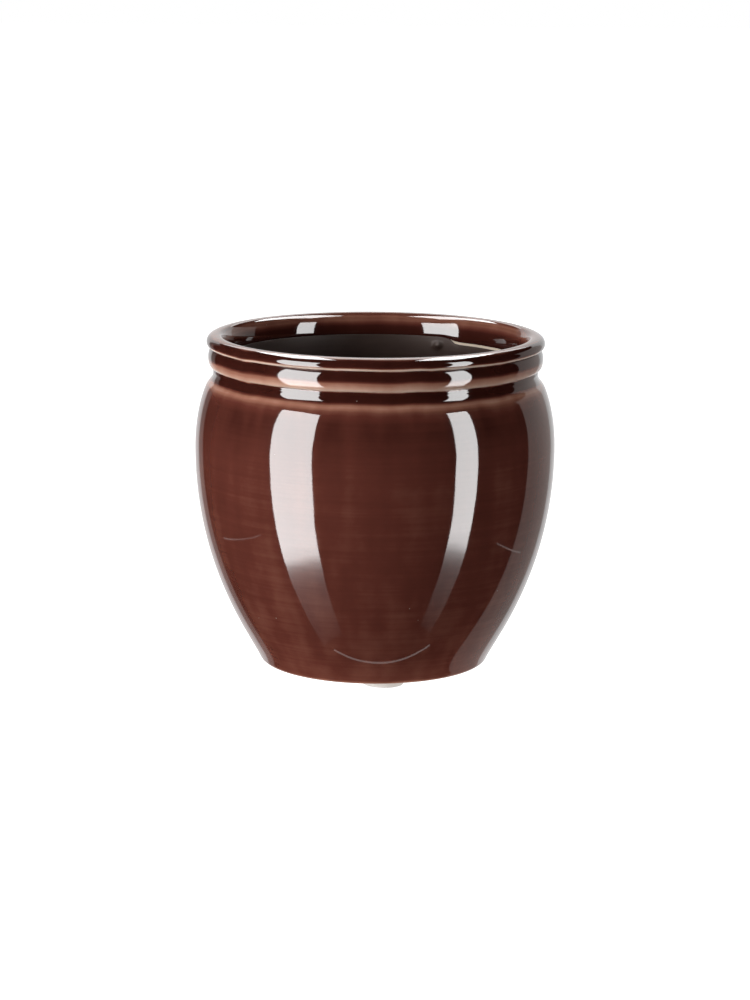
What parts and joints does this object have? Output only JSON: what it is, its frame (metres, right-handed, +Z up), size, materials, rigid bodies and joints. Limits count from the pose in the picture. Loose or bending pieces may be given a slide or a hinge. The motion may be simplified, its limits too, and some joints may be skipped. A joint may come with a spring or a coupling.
{
  "type": "flower pot",
  "caption": "Round glazed clay flower pot with a full belly, narrow foot, ringed neck and rolled lip, sealed inside and standing on felt pads; holds a potted plant.",
  "frame": {"origin": "on the standing surface, under the middle of the pot", "axes": "+Z up along the pot's axis, -Y towards the picture's front, +X to the picture's right"},
  "size_m": [0.16, 0.16, 0.1501],
  "materials": {
    "fired_clay": "bare fired clay, matt",
    "brown_glaze": "glossy see-through brown glaze",
    "dark_coat": "dark sealing coat, satin",
    "white_felt": "pressed felt",
    "adhesive": "self-adhesive backing"
  },
  "bodies": {
    "root": {"clay_body": "fired_clay", "outer_glaze": "brown_glaze", "inner_sealing_coat": "dark_coat", "felt_pad_1": "white_felt", "felt_pad_2": "white_felt", "felt_pad_3": "white_felt", "pad_adhesive_1": "adhesive", "pad_adhesive_2": "adhesive", "pad_adhesive_3": "adhesive"}
  },
  "joints": []
}
